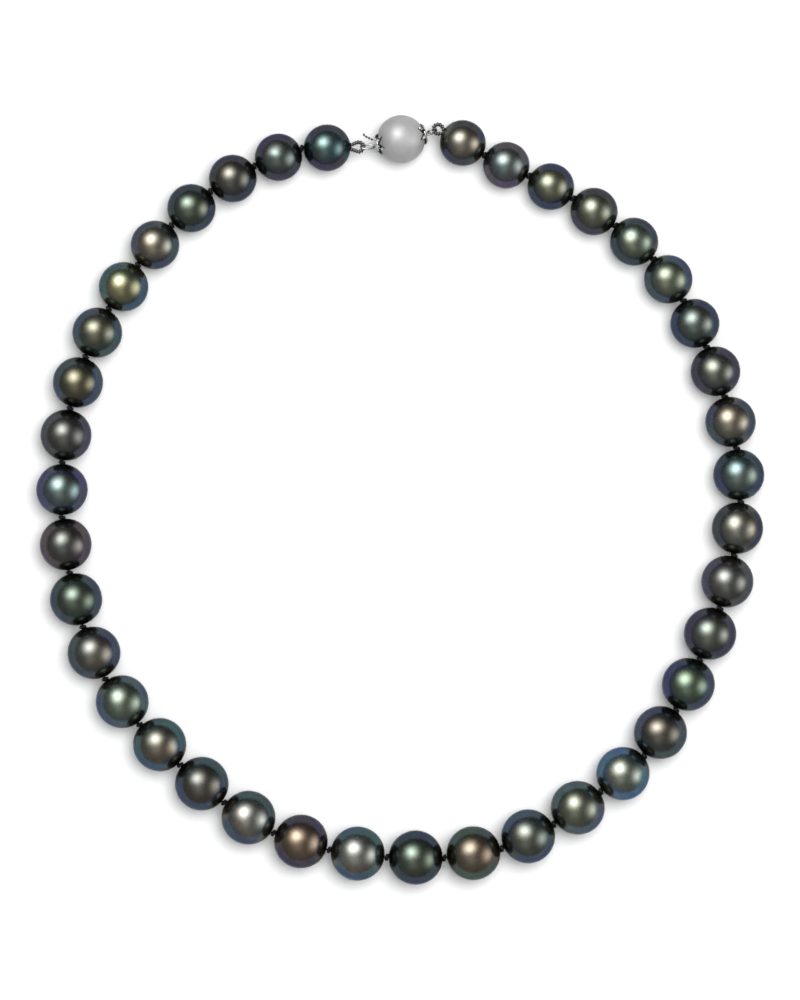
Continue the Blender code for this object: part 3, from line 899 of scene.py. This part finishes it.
def soften(piece):
    """Polishes a CAD piece and takes its sharp edges off."""
    piece.data.materials.clear()
    piece.data.materials.append(POLISHED)
    bevel = piece.modifiers.new("soften", "BEVEL")
    bevel.width = SOFT_EDGE * MM
    bevel.segments = 2
    bevel.limit_method = "ANGLE"


def clasp():
    clasp_piece("ball_left", half_shell(MOUTH_ANGLE, False), SATIN, "ball_shell_slotted")
    clasp_piece("ball_right", half_shell(CLOSED_ANGLE, True), SATIN, "ball_shell_closed")
    for side, flip in (("left", False), ("right", True)):
        cap = merged(leaf_cap(flip), collar(flip))
        clasp_piece(f"leaves_{side}", cap, ENGRAVED, f"leaf_cap_{side}")
    eye_of_ball()
    spring()
    for node in ("catch_plate", "tongue_plate"):
        soften(frame["nodes"][node])


# ---------------------------------------------------------------- stage, light and camera


def stage():
    """A pale floor, a hair below the pearls."""
    corners = ((-1, -1), (1, -1), (1, 1), (-1, 1))
    points = [(x * FLOOR_HALF, y * FLOOR_HALF, FLOOR_LEVEL) for x, y in corners]
    floor = add_mesh("table_top", points, [(0, 1, 2, 3)], table_top())


def tent():
    """The studio as polished things see it. It lights no diffuse surface: the lamps do that."""
    world = bpy.data.worlds.new("studio_tent")
    bpy.context.scene.world = world
    made = Nodes(world, "Background", "Generated")
    total = TENT_BASE
    for off_vertical, azimuth, strength, spread in TENT_GLOWS:
        dot = made.dot(from_angle(off_vertical, azimuth, 1.0))
        sharpness = 1 / math.radians(spread) ** 2
        power = made.math("MULTIPLY_ADD", dot, sharpness, math.log(strength) - sharpness)
        total = made.math("ADD", made.math("EXPONENT", power), total)
    made.set(Color=(1.0, 1.0, 1.0), Strength=total)
    world.cycles_visibility.diffuse = False


def lamp(name, off_vertical, azimuth, distance, diameter, power):
    """A round lamp for diffuse surfaces. Polished ones see the tent instead."""
    place = Vector(from_angle(off_vertical, azimuth, distance))
    light = bpy.data.lights.new(name, "AREA")
    light.shape = "DISK"
    light.size = diameter * MM
    light.energy = power
    made = bpy.data.objects.new(name, light)
    bpy.context.scene.collection.objects.link(made)
    made.location = place * MM
    made.rotation_euler = (-place).to_track_quat("-Z", "Y").to_euler()
    made.visible_glossy = False


def camera():
    """Straight above the middle of the strand, as in the photo."""
    data = bpy.data.cameras.new("camera")
    data.sensor_width = SENSOR
    data.lens = SENSOR * CAMERA_HEIGHT / PHOTO_HEIGHT
    data.clip_start, data.clip_end = 0.01, 10.0
    eye = bpy.data.objects.new("camera", data)
    bpy.context.scene.collection.objects.link(eye)
    eye.location = (0.0, 0.0, (CAMERA_HEIGHT + PEARL_LEVEL) * MM)
    bpy.context.scene.camera = eye
    bpy.context.scene.view_settings.view_transform = "Standard"


for number in range(1, PEARL_COUNT + 1):
    pearl(number)
    silk_run(number)
french_wire("left", 1)
french_wire("right", PEARL_COUNT)
link("left", "link_left_in_loop", "tongue_on_link")
link("right", "link_right_in_loop", "ball_on_link")
clasp()
stage()
tent()
for settings in LAMPS:
    lamp(*settings)
camera()
